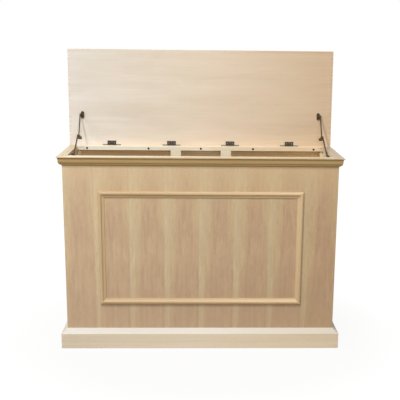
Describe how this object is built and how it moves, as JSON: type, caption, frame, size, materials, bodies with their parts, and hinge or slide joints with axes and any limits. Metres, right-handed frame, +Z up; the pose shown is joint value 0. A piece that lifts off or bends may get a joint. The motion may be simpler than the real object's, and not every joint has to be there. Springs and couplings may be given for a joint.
{
  "type": "tv lift cabinet",
  "caption": "Freestanding wooden cabinet whose hinged lid opens on folding stays so that an inner lift can raise a flat screen.",
  "frame": {"origin": "on the floor, under the middle of the box round the cabinet with its lid open", "axes": "+X to the right when facing the cabinet's front, +Y to the back, +Z up"},
  "size_m": [1.276, 0.4962, 1.3328],
  "materials": {
    "veneer": "satin clear lacquer over book-matched veneer",
    "moulding": "satin clear lacquer",
    "pale_wood": "satin clear lacquer",
    "inner_wood": "sanded and thinly sealed",
    "back_board": "thinly sealed",
    "hinge_steel": "dark satin plated steel",
    "dark_steel": "black oxide",
    "bronze_steel": "bronzed steel",
    "black_column": "satin black anodised",
    "black_steel": "satin black powder coat",
    "bare_tube": "satin natural anodised",
    "black_plastic": "fine moulded grain"
  },
  "bodies": {
    "cabinet": {"front_panel": "veneer", "side_panel_left": "veneer", "side_panel_right": "veneer", "crown_front": "moulding", "crown_left": "moulding", "crown_right": "moulding", "plinth_front": "moulding", "plinth_left": "moulding", "plinth_right": "moulding", "frame_top": "moulding", "frame_bottom": "moulding", "frame_left": "moulding", "frame_right": "moulding", "hinge_rail": "pale_wood", "post_left": "pale_wood", "post_right": "pale_wood", "corner_post_left": "pale_wood", "corner_post_right": "pale_wood", "floor_panel": "inner_wood", "front_rail": "inner_wood", "back_top_rail": "inner_wood", "back_board_left": "back_board", "back_board_right": "back_board", "back_hatch": "back_board", "hinge_rail_leaf_1": "hinge_steel", "hinge_rail_leaf_2": "hinge_steel", "hinge_rail_leaf_3": "hinge_steel", "hinge_rail_leaf_4": "hinge_steel", "hinge_pin_1": "dark_steel", "hinge_pin_2": "dark_steel", "hinge_pin_3": "dark_steel", "hinge_pin_4": "dark_steel", "rail_screw_1": "dark_steel", "rail_screw_2": "dark_steel", "rail_screw_3": "dark_steel", "rail_screw_4": "dark_steel", "rail_screw_5": "dark_steel", "stay_side_bracket_left": "bronze_steel", "stay_side_bracket_right": "bronze_steel", "lift_column": "black_column", "lift_wall_bracket": "black_steel", "lift_drive": "black_plastic", "control_box": "black_plastic"},
    "lid": {"lid_panel": "pale_wood", "hinge_lid_leaf_1": "hinge_steel", "hinge_lid_leaf_2": "hinge_steel", "hinge_lid_leaf_3": "hinge_steel", "hinge_lid_leaf_4": "hinge_steel", "stay_lid_bracket_left": "bronze_steel", "stay_lid_bracket_right": "bronze_steel"},
    "stay_upper_left": {"stay_upper_arm_left": "bronze_steel"},
    "stay_upper_right": {"stay_upper_arm_right": "bronze_steel"},
    "stay_lower_left": {"stay_lower_arm_left": "bronze_steel"},
    "stay_lower_right": {"stay_lower_arm_right": "bronze_steel"},
    "carriage": {"lift_carriage": "bare_tube"},
    "mast": {"lift_mast": "bare_tube"},
    "head": {"lift_head": "bare_tube", "screen_crossbar": "black_steel", "screen_arm_left": "black_steel", "screen_arm_right": "black_steel"}
  },
  "joints": [
    {"name": "lid_hinge", "type": "hinge", "parent": "cabinet", "child": "lid", "pos_m": [0, 0.20622, 0.88015], "axis": [1, 0, 0], "range_deg": [0, 93]},
    {"name": "stay_upper_pivot_left", "type": "hinge", "parent": "lid", "child": "stay_upper_left", "pos_m": [-0.58045, 0.20594, 1.02466], "axis": [1, 0, 0], "range_deg": [-19.4, 0]},
    {"name": "stay_lower_pivot_left", "type": "hinge", "parent": "cabinet", "child": "stay_lower_left", "pos_m": [-0.58595, -0.02707, 0.858], "axis": [1, 0, 0], "range_deg": [-51.9, 0]},
    {"name": "stay_upper_pivot_right", "type": "hinge", "parent": "lid", "child": "stay_upper_right", "pos_m": [0.58045, 0.20594, 1.02466], "axis": [1, 0, 0], "range_deg": [-19.4, 0]},
    {"name": "stay_lower_pivot_right", "type": "hinge", "parent": "cabinet", "child": "stay_lower_right", "pos_m": [0.58595, -0.02707, 0.858], "axis": [1, 0, 0], "range_deg": [-51.9, 0]},
    {"name": "carriage_slide", "type": "slide", "parent": "cabinet", "child": "carriage", "axis": [0, 0, 1], "range_m": [-0.41, 0]},
    {"name": "mast_slide", "type": "slide", "parent": "carriage", "child": "mast", "axis": [0, 0, 1], "range_m": [0, 0.215]},
    {"name": "head_slide", "type": "slide", "parent": "mast", "child": "head", "axis": [0, 0, 1], "range_m": [0, 0.215]}
  ],
  "couplings": [
    {"joint": "stay_upper_pivot_left", "follows": "lid_hinge", "ratio": -0.20797},
    {"joint": "stay_upper_pivot_right", "follows": "lid_hinge", "ratio": -0.20797},
    {"joint": "stay_lower_pivot_left", "follows": "lid_hinge", "ratio": -0.55744},
    {"joint": "stay_lower_pivot_right", "follows": "lid_hinge", "ratio": -0.55744},
    {"joint": "carriage_slide", "follows": "lid_hinge", "m_per_rad": -0.25259},
    {"joint": "head_slide", "follows": "mast_slide", "ratio": 1}
  ]
}
